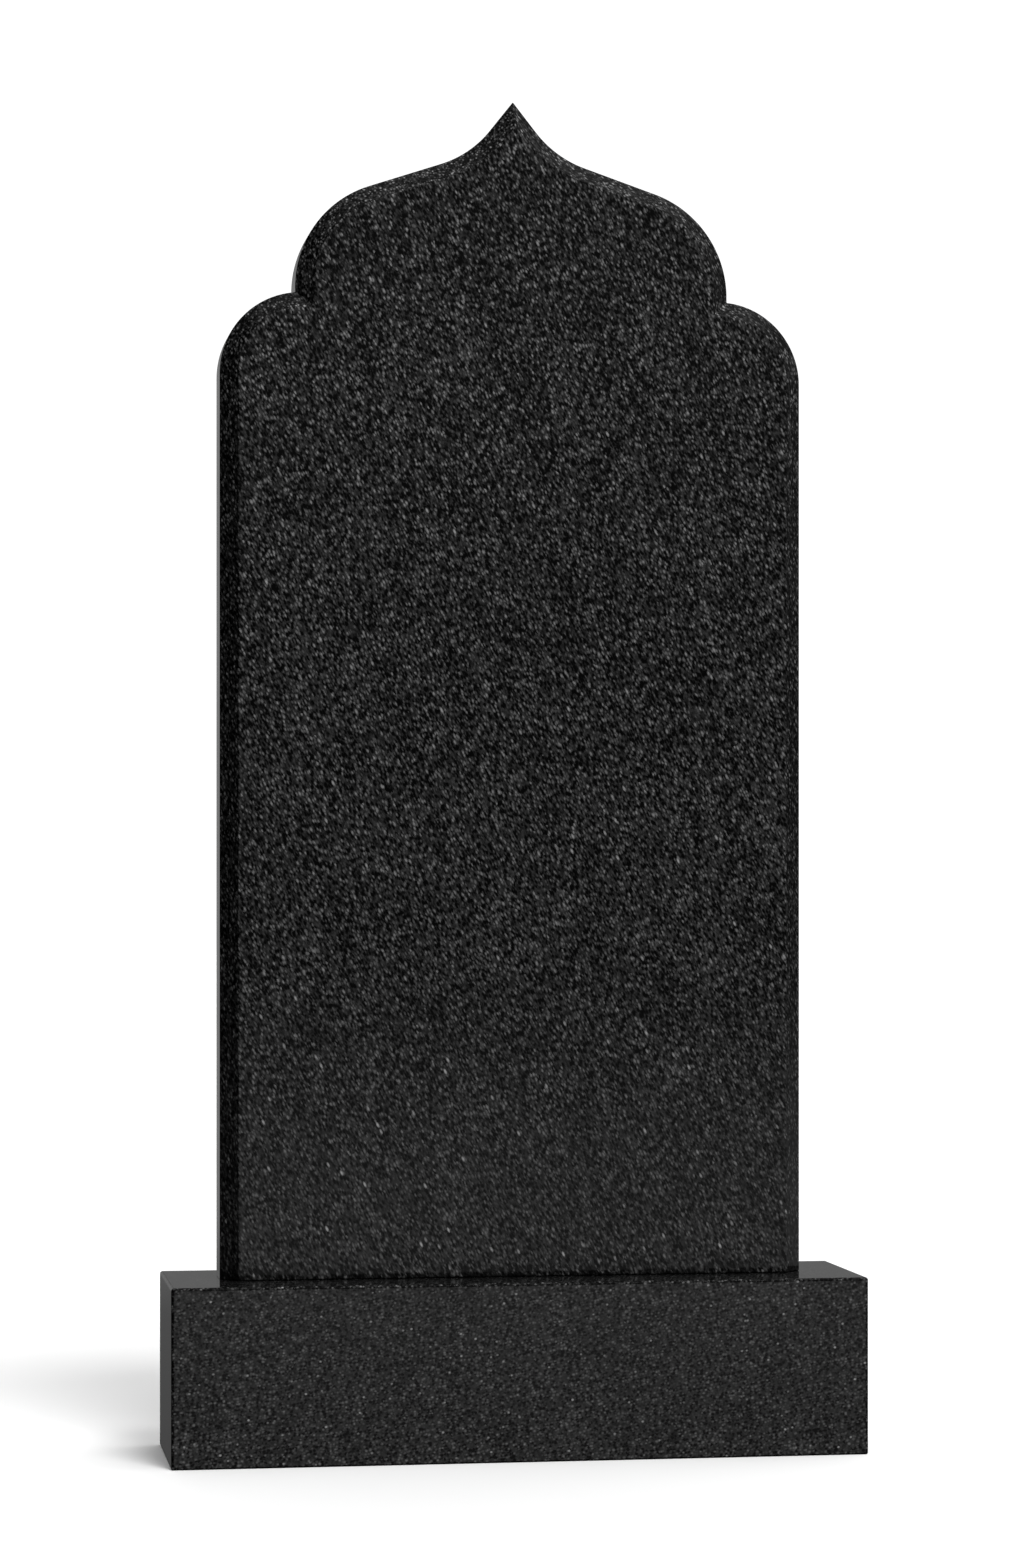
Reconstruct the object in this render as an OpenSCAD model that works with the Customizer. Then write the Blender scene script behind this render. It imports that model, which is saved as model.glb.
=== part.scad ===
// Headstone of two stones: an upright stele with round shoulders and an onion-dome head, and the
// plinth that it stands on. Sizes are in millimetres. The plinth is centred on the Z axis with its
// underside at z = 0, and the front faces -Y.

/* [Stele] */
// Width of the stele
stele_w = 500; // [440:5:700]
// Height of the stele, from its foot to the tip of the head
stele_h = 1000; // [500:10:1500]
// Thickness of the stele
stele_t = 50; // [40:1:120]
// Width of the bevel round the front, measured across the face
bevel_w = 15; // [5:1:25]
// Depth of that bevel, measured back along the edge
bevel_d = 15; // [5:1:30]

/* [Head] */
// Radius of the quarter-round shoulders
shoulder_r = 70; // [35:1:120]
// Upright stretch between the shoulders and the curve of the dome
dome_foot = 4; // [1:1:40]
// Radius of the dome's round sides
dome_r = 92; // [60:1:120]
// Length of the straight roof, between the dome's side and the hollow curve
roof_run = 65; // [20:1:90]
// Slope of the straight roof, in degrees
roof_slope = 18.5; // [5:0.5:30]
// Radius of the hollow curve that sweeps up to the tip
ogee_r = 90; // [50:1:130]
// Length of the straight edge below the tip
tip_run = 32; // [10:1:60]
// Slope of the straight edge below the tip, in degrees
tip_slope = 51.5; // [40:0.5:65]

/* [Plinth] */
// Height of the plinth
plinth_h = 150; // [80:5:250]
// Width of the plinth's top in front of the stele
front_ledge = 50; // [15:1:120]
// Width of the plinth's top behind the stele
back_ledge = 50; // [15:1:120]
// Width of the plinth's top at each side of the stele
side_ledge = 45; // [15:1:120]
// Radius of the plinth's top and upright arrises
arris_r = 2.5; // [1:0.5:10]

/* [Hidden] */
$fn = 96;

// Turn between neighbouring points on the curves of the outline, in degrees
arc_step = 3;

plinth_w = stele_w + 2 * side_ledge;
plinth_d = front_ledge + stele_t + back_ledge;
stele_back = front_ledge + stele_t - plinth_d / 2;

// The outline of the stele's right half, walked down from the tip. Each curve leaves and meets
// its straight neighbours in line, so one size can change without making a kink.
function down(slope) = [cos(slope), -sin(slope)];
function out(slope) = [sin(slope), cos(slope)];
tip = [0, stele_h];
ogee_centre = tip + tip_run * down(tip_slope) + ogee_r * out(tip_slope);
roof_top = ogee_centre - ogee_r * out(roof_slope);
dome_centre = roof_top + roof_run * down(roof_slope) - dome_r * out(roof_slope);
dome_side = dome_centre.x + dome_r;
shoulder_centre = [stele_w / 2 - shoulder_r, dome_centre.y - dome_foot - shoulder_r];

// The dome stands on the round of the shoulder or, on a wide stele, on a flat beside it.
shoulder_is_flat = shoulder_centre.x > dome_side;
notch_angle = shoulder_is_flat ? 90 : acos((dome_side - shoulder_centre.x) / shoulder_r);

// The notch where the dome meets the shoulder, with both drawn in by the same inset.
function notch(inset) =
    let (r = shoulder_r - inset, along = max(0, dome_side - inset - shoulder_centre.x))
    [dome_side - inset, shoulder_centre.y + sqrt(r * r - along * along)];

// Points on a circle in equal turns from one angle to the other, with or without the first one.
function arc(centre, r, from, to, skip_first = false) =
    let (steps = ceil(abs(to - from) / arc_step))
    [for (i = [skip_first ? 1 : 0 : steps])
        let (angle = from + (to - from) * i / steps)
        centre + r * [cos(angle), sin(angle)]];

// The right half from the tip to the foot, drawn in by an even inset with mitred corners.
function half_outline(inset) = concat(
    [tip - [0, inset / cos(tip_slope)]],
    arc(ogee_centre, ogee_r + inset, 270 - tip_slope, 270 - roof_slope),
    arc(dome_centre, dome_r - inset, 90 - roof_slope, 0),
    [notch(inset)],
    arc(shoulder_centre, shoulder_r - inset, notch_angle, 0, !shoulder_is_flat),
    [[stele_w / 2 - inset, 0]]
);

// The whole outline as a closed ring at height z: the right half going down, then the left half
// going up.
function ring(inset, z) =
    let (half = half_outline(inset))
    concat(
        [for (p = half) [p.x, p.y, z]],
        [for (i = [len(half) - 1 : -1 : 1]) [-half[i].x, half[i].y, z]]
    );

// The stele is drawn lying on its back and then stood up behind the front ledge. It is a plain slab
// and, over it, the slice with the bevel, whose sides run from the outline to the inset outline.
// The slice's two flat faces are fans of triangles about a point level with the shoulders' centres.
module stele() {
    count = len(ring(0, 0));
    slice_foot = stele_t - bevel_d;
    sides = [for (i = [0 : count - 1]) [i, (i + 1) % count, (i + 1) % count + count, i + count]];
    back = [for (i = [0 : count - 1]) [2 * count, (i + 1) % count, i]];
    front = [for (i = [0 : count - 1]) [2 * count + 1, i + count, (i + 1) % count + count]];
    color([0.13, 0.13, 0.13]) translate([0, stele_back, plinth_h]) rotate([90, 0, 0]) {
        linear_extrude(slice_foot) polygon([for (p = ring(0, 0)) [p.x, p.y]]);
        polyhedron(
            points = concat(
                ring(0, slice_foot),
                ring(bevel_w, stele_t),
                [[0, shoulder_centre.y, slice_foot], [0, shoulder_centre.y, stele_t]]
            ),
            faces = concat(sides, back, front)
        );
    }
}

// A rectangle centred on the Y axis with its foot on the X axis. Its top corners are rounded, and
// so are the corners at its foot where the foot is round too.
module eased_rectangle(w, h, round_foot) {
    low = round_foot ? arris_r : 0;
    for (side = [-1, 1]) {
        translate([side * (w / 2 - arris_r), h - arris_r]) circle(arris_r);
        if (round_foot) translate([side * (w / 2 - arris_r), arris_r]) circle(arris_r);
    }
    translate([-w / 2, low]) square([w, h - arris_r - low]);
    translate([arris_r - w / 2, 0]) square([w - 2 * arris_r, h]);
}

// The plinth is a block with eased top and upright arrises and a sawn underside.
module plinth() color([0.17, 0.17, 0.17])
    intersection() {
        translate([0, plinth_d / 2, 0]) rotate([90, 0, 0])
            linear_extrude(plinth_d) eased_rectangle(plinth_w, plinth_h, false);
        translate([-plinth_w / 2, 0, 0]) rotate([90, 0, 90])
            linear_extrude(plinth_w) eased_rectangle(plinth_d, plinth_h, false);
        translate([0, -plinth_d / 2, 0])
            linear_extrude(plinth_h) eased_rectangle(plinth_w, plinth_d, true);
    }

stele();
plinth();
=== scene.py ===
from math import acos, cos, radians, sin, tau
import bmesh
import bpy
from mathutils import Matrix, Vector


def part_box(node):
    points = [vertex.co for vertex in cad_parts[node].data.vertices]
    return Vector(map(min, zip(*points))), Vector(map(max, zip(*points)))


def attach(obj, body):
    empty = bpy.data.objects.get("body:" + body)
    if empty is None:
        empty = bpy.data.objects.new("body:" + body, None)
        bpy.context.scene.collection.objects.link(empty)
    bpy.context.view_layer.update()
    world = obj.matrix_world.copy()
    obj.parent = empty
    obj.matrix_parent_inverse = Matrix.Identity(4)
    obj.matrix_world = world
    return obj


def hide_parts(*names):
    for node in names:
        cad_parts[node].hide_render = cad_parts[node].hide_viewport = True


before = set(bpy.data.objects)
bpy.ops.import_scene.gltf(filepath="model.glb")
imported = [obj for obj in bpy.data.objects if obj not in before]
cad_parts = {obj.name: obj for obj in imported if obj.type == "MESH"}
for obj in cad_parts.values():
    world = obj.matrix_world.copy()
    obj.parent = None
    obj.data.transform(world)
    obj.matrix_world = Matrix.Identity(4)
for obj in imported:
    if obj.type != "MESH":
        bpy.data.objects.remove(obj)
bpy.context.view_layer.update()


# ---------------------------------------------------------------------------------------------
# Plinth
# One block of black granite (gabbro-diabase) that carries the stele. It is sawn to size, its top
# and four sides are machine polished, its arrises are rubbed round by hand, and its underside
# stays as the saw left it.
# ---------------------------------------------------------------------------------------------

def linear(hex_colour):
    """An sRGB hex colour as the linear red, green, blue and alpha that a shader works in."""
    channels = [int(hex_colour[i:i + 2], 16) / 255 for i in (1, 3, 5)]
    return [c / 12.92 if c <= 0.04045 else ((c + 0.055) / 1.055) ** 2.4 for c in channels] + [1]


def add_node(tree, kind, settings=None, links=None):
    """Adds a node, sets its properties and sockets by name or number, and links its inputs."""
    node = tree.nodes.new(kind)
    for name, value in (settings or {}).items():
        if isinstance(name, str) and hasattr(node, name):
            setattr(node, name, value)
        else:
            node.inputs[name].default_value = value
    for name, output in (links or {}).items():
        tree.links.new(output, node.inputs[name])
    return node


def set_tones(ramp, tones):
    """Gives a colour ramp its stops: a list of places from 0 to 1, each with its hex colour."""
    stops = ramp.color_ramp.elements
    while len(stops) < len(tones):
        stops.new(0.5)
    for stop, (place, tone) in zip(stops, tones):
        stop.position = place
        stop.color = linear(tone)


def crystal_layer(tree, size, lean, shift, reach, share=1):
    """One layer of crystals, one to a cell of that width and length in metres, turned from upright
    by lean. Each is whole round the middle of its cell and fades out at reach. It is as strong as
    its own draw, and only the highest share of the draws shows. shift moves the whole layer, so
    that no two layers of a stone coincide."""
    place = add_node(tree, "ShaderNodeTexCoord")
    width, length = size
    core = 0.3 * reach
    laid = add_node(
        tree, "ShaderNodeMapping",
        {"vector_type": "TEXTURE", "Location": (shift, shift, shift), "Rotation": (0, lean, 0),
         "Scale": (width, width, length)},
        {"Vector": place.outputs["Object"]})
    cells = add_node(
        tree, "ShaderNodeTexVoronoi", {"Scale": 1, "Randomness": 1},
        {"Vector": laid.outputs["Vector"]})
    body = add_node(
        tree, "ShaderNodeMapRange", {"From Min": reach, "From Max": core},
        {"Value": cells.outputs["Distance"]})
    draw = add_node(tree, "ShaderNodeSeparateColor", links={"Color": cells.outputs["Color"]})
    strength = add_node(
        tree, "ShaderNodeMapRange", {"From Min": 1 - share, "From Max": 1},
        {"Value": draw.outputs["Red"]})
    crystals = add_node(
        tree, "ShaderNodeMath", {"operation": "MULTIPLY"},
        {0: body.outputs["Result"], 1: strength.outputs["Result"]})
    return crystals.outputs[0]


def polished_granite(
        name, crystal, lean, tones, fleck, fleck_glint_tone, polish=(0.06, 0.12), contrast=None,
        joint=None):
    """Black granite under a mirror polish. The eye gets a mid-grey ground of feldspar laths that
    all lie one way, pitted with near-black pyroxene, and a few bright flecks where a crystal
    catches the light, a glint painted into their colour; on top of that lies a dark mirror image
    of the room. crystal and fleck are the width and length of their cells in metres. polish is
    the roughness of pyroxene and of feldspar, which takes a duller polish. contrast is the
    strength of the grain at three heights, lowest first, and joint is the height of a joint
    above which painted shade darkens the stone."""
    material = bpy.data.materials.new(name)
    material.use_nodes = True
    tree = material.node_tree
    stone = tree.nodes["Principled BSDF"]
    place = add_node(tree, "ShaderNodeTexCoord")
    width, length = crystal
    lath_reach = 0.75

    # Feldspar: two sizes of lath over a ground of crystals too fine to tell apart.
    laths = add_node(
        tree, "ShaderNodeMath", {"operation": "MAXIMUM"},
        {0: crystal_layer(tree, crystal, lean, 0, lath_reach),
         1: crystal_layer(tree, (1.25 * width, 1.25 * length), lean, 0.37, lath_reach)})
    ground_way = add_node(
        tree, "ShaderNodeMapping",
        {"vector_type": "TEXTURE", "Rotation": (0, lean, 0), "Scale": (width, width, length)},
        {"Vector": place.outputs["Object"]})
    ground_noise = add_node(
        tree, "ShaderNodeTexNoise", {"Scale": 0.8, "Detail": 2},
        {"Vector": ground_way.outputs["Vector"]})
    ground = add_node(
        tree, "ShaderNodeMapRange",
        {"From Min": 0.3, "From Max": 0.7, "To Min": 0.12, "To Max": 0.44},
        {"Value": ground_noise.outputs["Fac"]})
    feldspar = add_node(
        tree, "ShaderNodeMath", {"operation": "MAXIMUM"},
        {0: laths.outputs[0], 1: ground.outputs["Result"]})

    # Pyroxene: dark pits between the laths, and upright clouds, 30 mm wide and 80 mm tall, where
    # it is more or less plentiful.
    pits = add_node(
        tree, "ShaderNodeMath", {"operation": "MULTIPLY", 1: 0.55},
        {0: crystal_layer(tree, (1.1 * width, 1.1 * length), lean, 0.0042, lath_reach)})
    mosaic = add_node(
        tree, "ShaderNodeMath", {"operation": "SUBTRACT"},
        {0: feldspar.outputs[0], 1: pits.outputs[0]})
    cloud_way = add_node(
        tree, "ShaderNodeMapping", {"vector_type": "TEXTURE", "Scale": (0.03, 0.03, 0.08)},
        {"Vector": place.outputs["Object"]})
    cloud_noise = add_node(
        tree, "ShaderNodeTexNoise", {"Scale": 1, "Detail": 3},
        {"Vector": cloud_way.outputs["Vector"]})
    clouds = add_node(
        tree, "ShaderNodeMapRange",
        {"From Min": 0.3, "From Max": 0.7, "To Min": -0.31, "To Max": -0.24},
        {"Value": cloud_noise.outputs["Fac"]})
    grain = add_node(
        tree, "ShaderNodeMath", {"operation": "ADD"},
        {0: mosaic.outputs[0], 1: clouds.outputs["Result"]})
    if contrast:
        (low, faint), (middle, clear), (high, full) = contrast
        axes = add_node(tree, "ShaderNodeSeparateXYZ", links={"Vector": place.outputs["Object"]})
        lower_part = add_node(
            tree, "ShaderNodeMapRange",
            {"From Min": low, "From Max": middle, "To Min": faint, "To Max": clear},
            {"Value": axes.outputs["Z"]})
        upper_part = add_node(
            tree, "ShaderNodeMapRange",
            {"From Min": middle, "From Max": high, "To Min": 0, "To Max": full - clear},
            {"Value": axes.outputs["Z"]})
        strength = add_node(
            tree, "ShaderNodeMath", {"operation": "ADD"},
            {0: lower_part.outputs["Result"], 1: upper_part.outputs["Result"]})
        grain = add_node(
            tree, "ShaderNodeMath", {"operation": "MULTIPLY"},
            {0: grain.outputs[0], 1: strength.outputs[0]})
    tone = add_node(
        tree, "ShaderNodeMapRange", {"From Min": -0.28, "From Max": 0.72},
        {"Value": grain.outputs[0]})
    body_tone = add_node(tree, "ShaderNodeValToRGB", links={"Fac": tone.outputs["Result"]})
    set_tones(body_tone, tones)

    # Flecks: a small bright crystal in two cells out of five; its brightness is partly its own
    # colour and partly a painted glint.
    flecks = crystal_layer(tree, fleck, lean, 0.0021, 0.2, share=0.4)
    flecked = add_node(
        tree, "ShaderNodeMix", {"data_type": "RGBA", 7: linear(fleck_glint_tone)},
        {0: flecks, 6: body_tone.outputs["Color"]})
    colour = flecked.outputs[2]

    # Painted shade along the joint darkens the stone above it crystal by crystal, up to about 20
    # mm high.
    if joint is not None:
        painted_shade_rise = 0.021
        axes = add_node(tree, "ShaderNodeSeparateXYZ", links={"Vector": place.outputs["Object"]})
        painted_shade_reach = add_node(
            tree, "ShaderNodeMath", {"operation": "MULTIPLY_ADD", 1: -painted_shade_rise},
            {0: crystal_layer(tree, (0.003, 0.006), lean, 0.11, 0.9, share=0.85),
             2: axes.outputs["Z"]})
        shade = add_node(
            tree, "ShaderNodeMapRange",
            {"From Min": joint - 0.001, "From Max": joint + 0.0015, "To Min": 0.2, "To Max": 1},
            {"Value": painted_shade_reach.outputs[0]})
        darkened = add_node(
            tree, "ShaderNodeVectorMath", {"operation": "SCALE"},
            {0: colour, "Scale": shade.outputs["Result"]})
        colour = darkened.outputs["Vector"]
    tree.links.new(colour, stone.inputs["Base Color"])

    hard, soft = polish
    roughness = add_node(
        tree, "ShaderNodeMapRange", {"To Min": hard, "To Max": soft},
        {"Value": tone.outputs["Result"]})
    tree.links.new(roughness.outputs["Result"], stone.inputs["Roughness"])
    stone.inputs["IOR"].default_value = 1.5
    return material


def sawn_granite(name):
    """The stone as the diamond saw left it: a flat grey with the crystals dulled, and faint
    straight score marks across it."""
    material = bpy.data.materials.new(name)
    material.use_nodes = True
    tree = material.node_tree
    stone = tree.nodes["Principled BSDF"]
    place = add_node(tree, "ShaderNodeTexCoord")
    crystals = add_node(
        tree, "ShaderNodeTexVoronoi", {"Scale": 1 / 0.003},
        {"Vector": place.outputs["Object"]})
    score_way = add_node(
        tree, "ShaderNodeMapping", {"vector_type": "TEXTURE", "Scale": (0.004, 0.3, 0.3)},
        {"Vector": place.outputs["Object"]})
    score = add_node(
        tree, "ShaderNodeTexNoise", {"Scale": 1, "Detail": 4},
        {"Vector": score_way.outputs["Vector"]})
    tone = add_node(
        tree, "ShaderNodeMix", {"data_type": "FLOAT", 0: 0.5},
        {2: crystals.outputs["Distance"], 3: score.outputs["Fac"]})
    colour = add_node(tree, "ShaderNodeValToRGB", links={"Fac": tone.outputs[0]})
    set_tones(colour, [(0.25, "#3c3c3c"), (0.75, "#6e6e6e")])
    tree.links.new(colour.outputs["Color"], stone.inputs["Base Color"])
    bump = add_node(
        tree, "ShaderNodeBump", {"Strength": 0.4, "Distance": 0.0003},
        {"Height": score.outputs["Fac"]})
    tree.links.new(bump.outputs["Normal"], stone.inputs["Normal"])
    stone.inputs["Roughness"].default_value = 0.75
    return material


def select_edges(piece, wanted):
    """In edit mode, selects only the edges that pass the test, which is given their two ends."""
    bpy.ops.mesh.select_mode(type="EDGE")
    bpy.ops.mesh.select_all(action="DESELECT")
    mesh = bmesh.from_edit_mesh(piece.data)
    for edge in mesh.edges:
        start, end = edge.verts
        edge.select_set(wanted(start.co, end.co))
    bmesh.update_edit_mesh(piece.data)


def finish_faces(piece, finish_number, wanted):
    """Gives the faces whose normal passes the test the finish with that number."""
    for face in piece.data.polygons:
        if wanted(face.normal):
            face.material_index = finish_number


# Points closer than hair are the same point. A normal whose part along an axis is over flat
# belongs to a flat face square to that axis.
hair = 0.00001
flat = 0.999
plinth_low, plinth_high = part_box("plinth")
plinth_arris = 0.0025
plinth_foot_arris = 0.0015
plinth_crystal = (0.0023, 0.0026)
plinth_fleck = (0.006, 0.007)
plinth_lean = radians(80)
rubbed_shaded_finish = 1
plinth_sawn_finish = 2
top_finish = 3

bpy.ops.object.select_all(action="DESELECT")
bpy.ops.mesh.primitive_cube_add(
    size=1, location=(plinth_low + plinth_high) / 2, scale=plinth_high - plinth_low)
plinth = bpy.context.object
plinth.name = "plinth_block"
bpy.ops.object.transform_apply(location=True, rotation=True, scale=True)
plinth.data.materials.append(polished_granite(
    "polished gabbro-diabase, fine grain", plinth_crystal, plinth_lean,
    tones=[(0.0, "#171717"), (0.2, "#2d2d2d"), (0.45, "#404040"), (0.75, "#575757"),
           (1.0, "#727272")],
    fleck=plinth_fleck, fleck_glint_tone="#b0b0b0"))
# The arris's copy of the stone is darker all through, a painted dark line of shade; its duller
# rubbed polish is the stone's own.
plinth.data.materials.append(polished_granite(
    "hand-rubbed gabbro-diabase arris, painted shade", plinth_crystal, plinth_lean,
    tones=[(0.1, "#020202"), (0.3, "#1a1a1a"), (0.6, "#3c3c3c"), (1.0, "#6c6c6c")],
    fleck=plinth_fleck, fleck_glint_tone="#a8a8a8", polish=(0.2, 0.26)))
plinth.data.materials.append(sawn_granite("sawn gabbro-diabase"))
# The top's copy of the stone is darker all through, as painted shade; its level grain is the
# stone's own.
plinth.data.materials.append(polished_granite(
    "polished gabbro-diabase, cut with the bed, painted shade", plinth_crystal, lean=0,
    tones=[(0.0, "#020202"), (0.25, "#141414"), (0.6, "#2a2a2a"), (1.0, "#505050")],
    fleck=plinth_fleck, fleck_glint_tone="#707070"))

bpy.ops.object.mode_set(mode="EDIT")
select_edges(plinth, lambda start, end: max(start.z, end.z) > plinth_low.z + hair)
bpy.ops.mesh.bevel(offset=plinth_arris, segments=8, affect="EDGES", material=rubbed_shaded_finish)
select_edges(plinth, lambda start, end: max(start.z, end.z) < plinth_low.z + hair)
bpy.ops.mesh.bevel(
    offset=plinth_foot_arris, segments=4, affect="EDGES", material=rubbed_shaded_finish)
bpy.ops.mesh.select_all(action="SELECT")
bpy.ops.mesh.normals_make_consistent(inside=False)
bpy.ops.object.mode_set(mode="OBJECT")
finish_faces(plinth, plinth_sawn_finish, lambda normal: normal.z < -flat)
finish_faces(plinth, top_finish, lambda normal: normal.z > flat)

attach(plinth, "root")
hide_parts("plinth")


# ---------------------------------------------------------------------------------------------
# Stele
# The upright slab of the same black granite, with round shoulders and an onion-dome head. Its
# outline is cut with a wire saw, a 15 mm bevel is ground round the front, and front, back and
# edges are polished. It stands on the plinth by its own weight.
# ---------------------------------------------------------------------------------------------

# Down each side from the tip come a straight run, a hollow ogee, the straight roof, the round
# dome, a right-angled notch, the round shoulder and the straight side. Slopes are from level, and
# dome_foot is how far the shoulder's top lies under the dome's centre. The slab is drawn longer by
# spare_foot and cut off level at the end, so that the bevel runs straight down to the plinth.
stele_low, stele_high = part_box("stele")
bevel = 0.015
shoulder_radius = 0.070
dome_foot = 0.004
dome_radius = 0.092
roof_run = 0.065
roof_slope = radians(18.5)
ogee_radius = 0.090
tip_run = 0.032
tip_slope = radians(51.5)
curve_step = radians(2)
stele_arris = 0.0006
stele_foot_arris = 0.0015
spare_foot = 0.05
stele_crystal = (0.0020, 0.0040)
stele_fleck = (0.0065, 0.015)
stele_lean = radians(-27)
# The grain fades towards the foot and strengthens near the head: painted light, standing in for
# the veil of the floor's mirror image low down and the brighter light high up.
stele_contrast = [(0.22, 0.64), (0.43, 0.85), (0.93, 1.03)]
face_finish = 0
stele_sawn_finish = 1
bevel_finish = 2


def down(slope, length):
    """A move of that length to the right and down a slope, in the plane of the slab."""
    return Vector((cos(slope), 0, -sin(slope))) * length


def square_to(slope, length):
    """A move of that length square to a slope, up and to the right."""
    return Vector((sin(slope), 0, cos(slope))) * length


def draw_on(move):
    """Draws the outline on from its selected end by a straight move."""
    bpy.ops.mesh.extrude_region_move(TRANSFORM_OT_translate={"value": move})


def draw_curve(centre, turn):
    """Draws the outline on from its selected end round a centre, clockwise from the front."""
    bpy.ops.mesh.spin(
        steps=max(1, round(abs(turn) / curve_step)), angle=-turn, center=centre, axis=(0, 1, 0))


tip = Vector((0, stele_high.y, stele_high.z))
ogee_start = tip + down(tip_slope, tip_run)
ogee_centre = ogee_start + square_to(tip_slope, ogee_radius)
roof_top = ogee_centre - square_to(roof_slope, ogee_radius)
dome_centre = roof_top + down(roof_slope, roof_run) - square_to(roof_slope, dome_radius)
dome_side = dome_centre.x + dome_radius
shoulder_centre = Vector((
    stele_high.x - shoulder_radius, tip.y, dome_centre.z - dome_foot - shoulder_radius))
notch_turn = acos((dome_side - shoulder_centre.x) / shoulder_radius)
notch_height = shoulder_centre.z + shoulder_radius * sin(notch_turn)

# The outline starts as one point at the tip. Its right half is drawn on from there and mirrored.
bpy.ops.object.select_all(action="DESELECT")
bpy.ops.mesh.primitive_plane_add(size=stele_arris, location=tip)
stele = bpy.context.object
stele.name = "stele_slab"
bpy.ops.object.transform_apply(location=True, rotation=True, scale=True)
bpy.ops.object.mode_set(mode="EDIT")
bpy.ops.mesh.select_mode(type="VERT")
bpy.ops.mesh.merge(type="CENTER")
draw_on(down(tip_slope, tip_run))
draw_curve(ogee_centre, roof_slope - tip_slope)
draw_on(down(roof_slope, roof_run))
draw_curve(dome_centre, tau / 4 - roof_slope)
draw_on((0, 0, notch_height - dome_centre.z))
draw_curve(shoulder_centre, notch_turn)
draw_on((0, 0, stele_low.z - spare_foot - shoulder_centre.z))
draw_on((-stele_high.x, 0, 0))
bpy.ops.object.mode_set(mode="OBJECT")
bpy.ops.object.modifier_add(type="MIRROR")
bpy.ops.object.modifier_apply(modifier=stele.modifiers[0].name)

stele.data.materials.append(polished_granite(
    "polished gabbro-diabase, coarse grain", stele_crystal, stele_lean,
    tones=[(0.08, "#020202"), (0.15, "#121212"), (0.26, "#282828"), (0.4, "#404040"),
           (0.58, "#575757"), (0.8, "#7a7a7a"), (1.0, "#a0a0a0")],
    fleck=stele_fleck, fleck_glint_tone="#b4b4b4", contrast=stele_contrast, joint=stele_low.z))
stele.data.materials.append(bpy.data.materials["sawn gabbro-diabase"])
# The bevel's copy of the stone is darker all through: painted shade on the bevel.
stele.data.materials.append(polished_granite(
    "polished gabbro-diabase, ground bevel, painted shade", stele_crystal, stele_lean,
    tones=[(0.08, "#000000"), (0.15, "#080808"), (0.26, "#191919"), (0.4, "#2c2c2c"),
           (0.58, "#444444"), (0.8, "#666666"), (1.0, "#8e8e8e")],
    fleck=stele_fleck, fleck_glint_tone="#949494", contrast=stele_contrast, joint=stele_low.z))

# The closed outline is the back. It is drawn forward to the foot of the bevel, and the front is
# then set in and forward by the bevel.
bpy.ops.object.mode_set(mode="EDIT")
bpy.ops.mesh.select_all(action="SELECT")
bpy.ops.mesh.remove_doubles(threshold=hair)
bpy.ops.mesh.edge_face_add()
bpy.ops.mesh.extrude_region_move(
    TRANSFORM_OT_translate={"value": (0, stele_low.y - stele_high.y + bevel, 0)})
bpy.ops.mesh.select_all(action="SELECT")
bpy.ops.mesh.normals_make_consistent(inside=False)
bpy.ops.mesh.select_mode(type="FACE")
bpy.ops.mesh.select_all(action="DESELECT")
mesh = bmesh.from_edit_mesh(stele.data)
for face in mesh.faces:
    face.select_set(face.normal.y < -flat)
bmesh.update_edit_mesh(stele.data)
bpy.ops.mesh.inset(thickness=bevel, depth=bevel)
bpy.ops.mesh.select_all(action="SELECT")
bpy.ops.mesh.bisect(
    plane_co=(0, 0, stele_low.z), plane_no=(0, 0, 1), clear_inner=True, use_fill=True)
bpy.ops.mesh.select_all(action="SELECT")
bpy.ops.mesh.remove_doubles(threshold=hair)
bpy.ops.mesh.normals_make_consistent(inside=False)

# A larger arris at the foot of the front, and a small one on every other sharp edge.
select_edges(
    stele, lambda start, end: max(start.z, end.z) < stele_low.z + hair
    and max(start.y, end.y) < stele_low.y + bevel + hair)
bpy.ops.mesh.bevel(offset=stele_foot_arris, segments=3, affect="EDGES", material=face_finish)
bpy.ops.mesh.select_all(action="DESELECT")
bpy.ops.mesh.edges_select_sharp(sharpness=radians(35))
bpy.ops.mesh.bevel(offset=stele_arris, segments=3, affect="EDGES", material=face_finish)
bpy.ops.object.mode_set(mode="OBJECT")
bpy.ops.object.shade_smooth_by_angle(angle=radians(8))

# The bevel leans back by 45 degrees, so its faces point 0.71 of the way to the front.
finish_faces(stele, stele_sawn_finish, lambda normal: normal.z < -flat)
finish_faces(stele, bevel_finish, lambda normal: -0.75 < normal.y < -0.66)

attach(stele, "root")
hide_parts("stele")


# ---------------------------------------------------------------------------------------------
# Studio
# A plain white floor under three soft lamps: the key light high in front, a little to the right,
# the overhead light high on the right, and a low back light behind. The polished stone mirrors a
# dim room of its own, with a pale band just under level in front, a window behind on the left, a
# dark wall on the left and a skylight up on the right.
# ---------------------------------------------------------------------------------------------

floor_radius = 30
bpy.ops.object.select_all(action="DESELECT")
bpy.ops.mesh.primitive_circle_add(vertices=64, radius=floor_radius, fill_type="NGON")
floor = bpy.context.object
floor.name = "floor"
paint = bpy.data.materials.new("matt white floor paint")
paint.use_nodes = True
paint.node_tree.nodes["Principled BSDF"].inputs["Base Color"].default_value = linear("#e9e9e9")
paint.node_tree.nodes["Principled BSDF"].inputs["Roughness"].default_value = 1
paint.node_tree.nodes["Principled BSDF"].inputs["Specular IOR Level"].default_value = 0
floor.data.materials.append(paint)
floor.visible_diffuse = False
floor.visible_glossy = False


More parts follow.
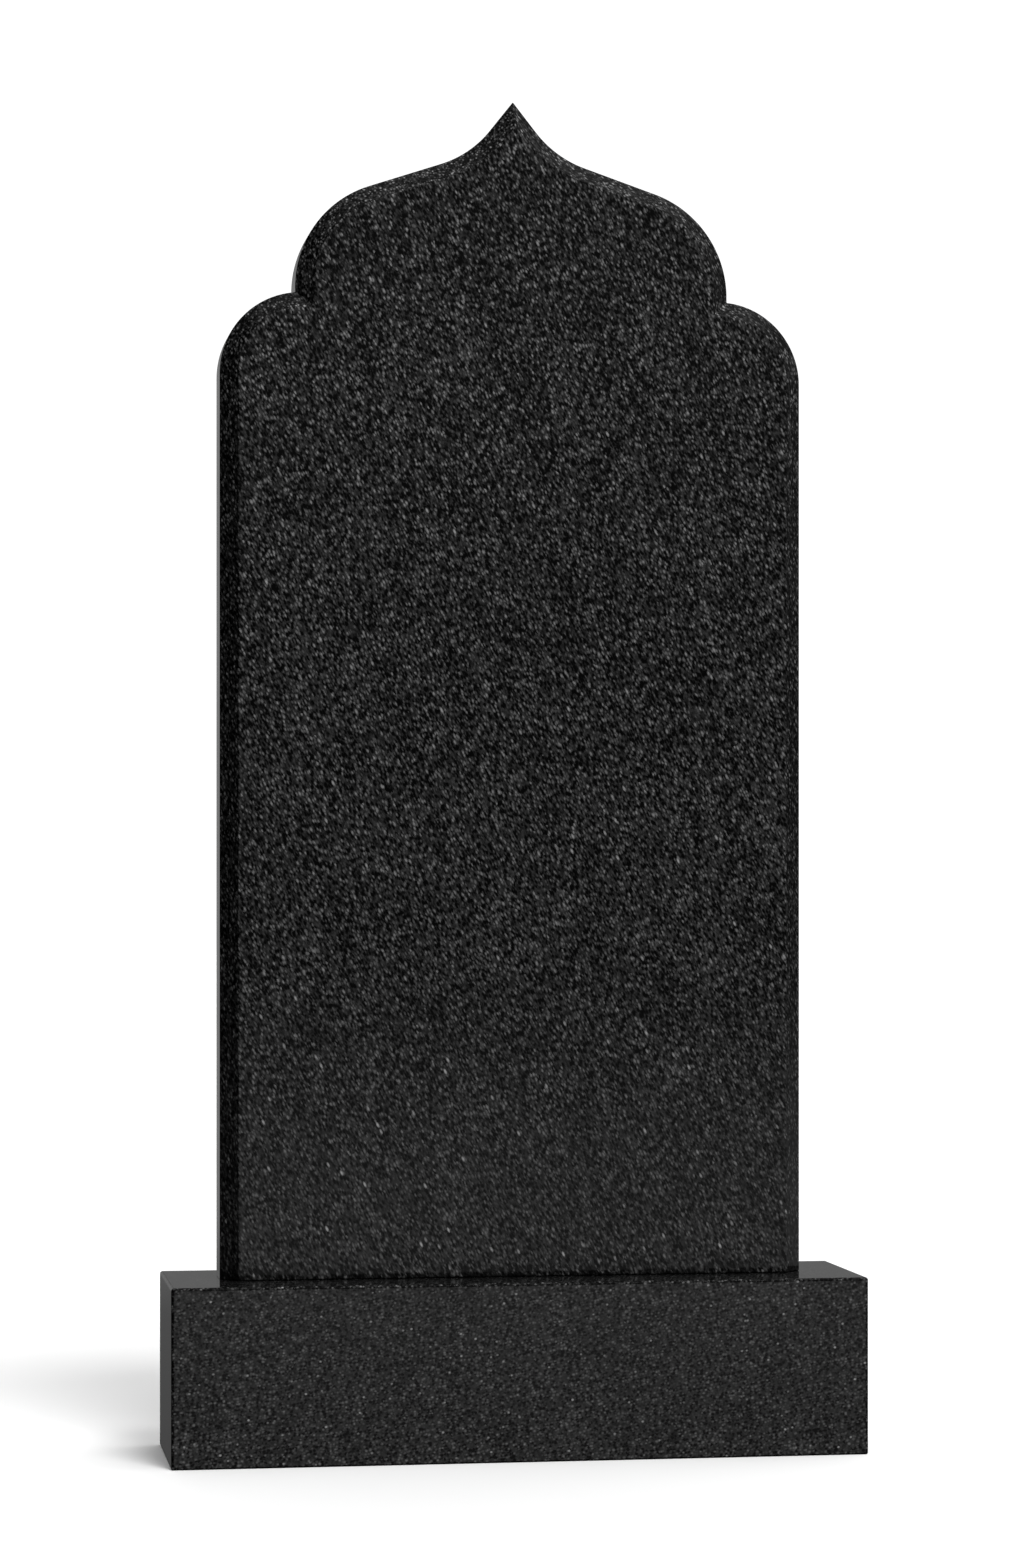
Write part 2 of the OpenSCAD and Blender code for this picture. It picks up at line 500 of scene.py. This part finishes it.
def hang_lamp(name, strength, softness, side, elevation):
    """A far soft lamp whose disc is softness degrees wide. side is how far round to the right of
    the front it stands and elevation how high, both in degrees. The stone doesn't mirror it."""
    light = bpy.data.lights.new(name, "SUN")
    light.energy = strength
    light.angle = radians(softness)
    lamp = bpy.data.objects.new(name, light)
    bpy.context.scene.collection.objects.link(lamp)
    side, elevation = radians(side), radians(elevation)
    towards = Vector((
        cos(elevation) * sin(side), -cos(elevation) * cos(side), sin(elevation)))
    lamp.rotation_euler = towards.to_track_quat("Z", "Y").to_euler()
    lamp.visible_glossy = False


hang_lamp("key light", 2.0, 20, 20, 54)
hang_lamp("overhead light", 2.5, 90, 80, 74)
hang_lamp("back light", 0.7, 40, 175, 22)

# The room that the stone mirrors. Heights run from 0, straight down, over 0.5, level, to 1.
world = bpy.data.worlds.new("studio")
bpy.context.scene.world = world
world.use_nodes = True
tree = world.node_tree
room = tree.nodes["Background"]
way = add_node(tree, "ShaderNodeTexCoord")
axes = add_node(tree, "ShaderNodeSeparateXYZ", links={"Vector": way.outputs["Generated"]})
height = add_node(
    tree, "ShaderNodeMapRange", {"From Min": -1, "From Max": 1}, {"Value": axes.outputs["Z"]})
front_room = add_node(tree, "ShaderNodeValToRGB", links={"Fac": height.outputs["Result"]})
set_tones(front_room, [(0.0, "#202020"), (0.425, "#202020"), (0.449, "#787878"),
                       (0.462, "#7a7a7a"), (0.49, "#3a3a3a"), (0.53, "#3a3a3a"),
                       (0.58, "#525252"), (0.8, "#5a5a5a"), (1.0, "#6a6a6a")])
back_room = add_node(tree, "ShaderNodeValToRGB", links={"Fac": height.outputs["Result"]})
set_tones(back_room, [(0.0, "#404040"), (0.42, "#434343"), (0.447, "#4c4c4c"), (0.458, "#727272"),
                      (0.65, "#808080"), (0.8, "#606060"), (1.0, "#6a6a6a")])
back_window = add_node(
    tree, "ShaderNodeMapRange",
    {"From Min": 0, "From Max": -0.12, "To Min": 1, "To Max": 1.75}, {"Value": axes.outputs["X"]})
lit_back_room = add_node(
    tree, "ShaderNodeVectorMath", {"operation": "SCALE"},
    {0: back_room.outputs["Color"], "Scale": back_window.outputs["Result"]})
behind = add_node(
    tree, "ShaderNodeMapRange", {"From Min": 0.5, "From Max": 0.95}, {"Value": axes.outputs["Y"]})
whole_room = add_node(
    tree, "ShaderNodeMix", {"data_type": "RGBA"},
    {0: behind.outputs["Result"], 6: front_room.outputs["Color"],
     7: lit_back_room.outputs["Vector"]})
left_wall = add_node(
    tree, "ShaderNodeMapRange",
    {"From Min": -0.2, "From Max": -0.8, "To Min": 1, "To Max": 0.1}, {"Value": axes.outputs["X"]})
right_wall = add_node(
    tree, "ShaderNodeMapRange",
    {"From Min": 0.2, "From Max": 0.6, "To Min": 0, "To Max": 1.3}, {"Value": axes.outputs["X"]})
high_up = add_node(
    tree, "ShaderNodeMapRange", {"From Min": 0.6, "From Max": 0.95}, {"Value": axes.outputs["Z"]})
skylight = add_node(
    tree, "ShaderNodeMath", {"operation": "MULTIPLY_ADD"},
    {0: right_wall.outputs["Result"], 1: high_up.outputs["Result"],
     2: left_wall.outputs["Result"]})
shaded_room = add_node(
    tree, "ShaderNodeVectorMath", {"operation": "SCALE"},
    {0: whole_room.outputs[2], "Scale": skylight.outputs[0]})

# The backdrop is a little over white, so that the floor runs into it without a line.
backdrop = (1.1, 1.1, 1.1, 1)
ray = add_node(tree, "ShaderNodeLightPath")
seen = add_node(
    tree, "ShaderNodeMix", {"data_type": "RGBA", 7: backdrop},
    {0: ray.outputs["Is Camera Ray"], 6: shaded_room.outputs["Vector"]})
tree.links.new(seen.outputs[2], room.inputs["Color"])

bpy.context.scene.view_settings.view_transform = "Standard"


# ---------------------------------------------------------------------------------------------
# Camera
# A long lens at about knee height, a little to the left, level, so that uprights stay upright.
# ---------------------------------------------------------------------------------------------

lens = bpy.data.cameras.new("camera")
lens.lens = 86.65
lens.shift_y = 0.0758
lens.clip_end = 200
camera = bpy.data.objects.new("camera", lens)
camera.location = (-0.4995, -3.1655, 0.4728)
camera.rotation_euler = (radians(90), 0, -0.1549)
bpy.context.scene.collection.objects.link(camera)
bpy.context.scene.camera = camera
